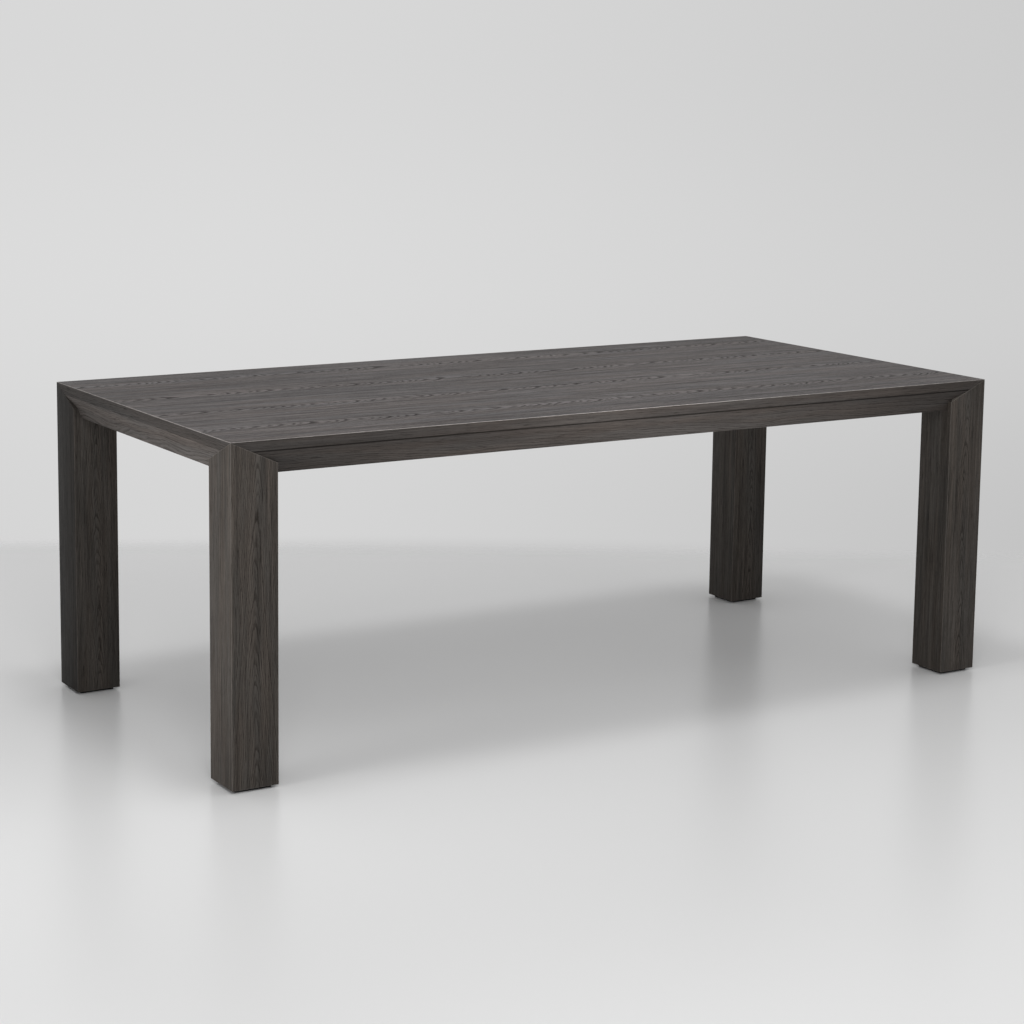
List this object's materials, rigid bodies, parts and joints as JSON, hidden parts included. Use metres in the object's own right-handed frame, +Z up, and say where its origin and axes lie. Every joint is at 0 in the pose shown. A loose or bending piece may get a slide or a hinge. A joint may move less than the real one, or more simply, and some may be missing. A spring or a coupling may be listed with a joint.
{
  "type": "parsons dining table",
  "caption": "Rectangular parsons dining table in dark stained oak veneer: square legs flush with the top's corners, a flush edge band over inward-leaning aprons, diagonal leg shoulders.",
  "frame": {"origin": "on the floor, under the middle of the table top", "axes": "+X along the table, +Y across it from the front to the rear, +Z up"},
  "size_m": [2.1, 1, 0.76],
  "materials": {
    "oak_top": "matt, charcoal-stained oak veneer, flame figure, open pores",
    "oak_edge": "matt, charcoal-stained oak, horizontal grain",
    "oak_apron": "matt, charcoal-stained oak veneer, horizontal grain",
    "oak_leg": "matt, charcoal-stained oak veneer, vertical grain, open pores",
    "core_board": "raw medium density fibreboard",
    "underside_veneer": "dark sealed veneer",
    "dark_hardwood": "dark stained hardwood, sawn and planed",
    "plain_beech": "planed, unfinished",
    "zinc_steel": "bright zinc plated",
    "black_pad": "matt black"
  },
  "bodies": {
    "root": {"apron_front": "oak_apron", "apron_left_end": "oak_apron", "apron_rear": "oak_apron", "apron_right_end": "oak_apron", "apron_screws": "zinc_steel", "corner_block_front_left": "dark_hardwood", "corner_block_front_right": "dark_hardwood", "corner_block_rear_left": "dark_hardwood", "corner_block_rear_right": "dark_hardwood", "corner_block_screws": "zinc_steel", "cross_rail_1": "dark_hardwood", "cross_rail_2": "dark_hardwood", "cross_rail_3": "dark_hardwood", "cross_rail_dowels": "plain_beech", "cross_rail_screws": "zinc_steel", "edge_strip_front": "oak_edge", "edge_strip_left_end": "oak_edge", "edge_strip_rear": "oak_edge", "edge_strip_right_end": "oak_edge", "foot_pad_front_left": "black_pad", "foot_pad_front_right": "black_pad", "foot_pad_rear_left": "black_pad", "foot_pad_rear_right": "black_pad", "foot_pad_screws": "zinc_steel", "leg_bolt_nuts": "zinc_steel", "leg_bolt_washers": "zinc_steel", "leg_front_left_foot_block": "plain_beech", "leg_front_left_inner_end_board": "oak_leg", "leg_front_left_inner_side_board": "oak_leg", "leg_front_left_outer_end_board": "oak_leg", "leg_front_left_outer_side_board": "oak_leg", "leg_front_left_top_block": "plain_beech", "leg_front_right_foot_block": "plain_beech", "leg_front_right_inner_end_board": "oak_leg", "leg_front_right_inner_side_board": "oak_leg", "leg_front_right_outer_end_board": "oak_leg", "leg_front_right_outer_side_board": "oak_leg", "leg_front_right_top_block": "plain_beech", "leg_hanger_bolts": "zinc_steel", "leg_rear_left_foot_block": "plain_beech", "leg_rear_left_inner_end_board": "oak_leg", "leg_rear_left_inner_side_board": "oak_leg", "leg_rear_left_outer_end_board": "oak_leg", "leg_rear_left_outer_side_board": "oak_leg", "leg_rear_left_top_block": "plain_beech", "leg_rear_right_foot_block": "plain_beech", "leg_rear_right_inner_end_board": "oak_leg", "leg_rear_right_inner_side_board": "oak_leg", "leg_rear_right_outer_end_board": "oak_leg", "leg_rear_right_outer_side_board": "oak_leg", "leg_rear_right_top_block": "plain_beech", "top_balancing_veneer": "underside_veneer", "top_core": "core_board", "top_veneer_leaf_1": "oak_top", "top_veneer_leaf_2": "oak_top", "top_veneer_leaf_3": "oak_top", "top_veneer_leaf_4": "oak_top", "top_veneer_leaf_5": "oak_top"}
  },
  "joints": []
}
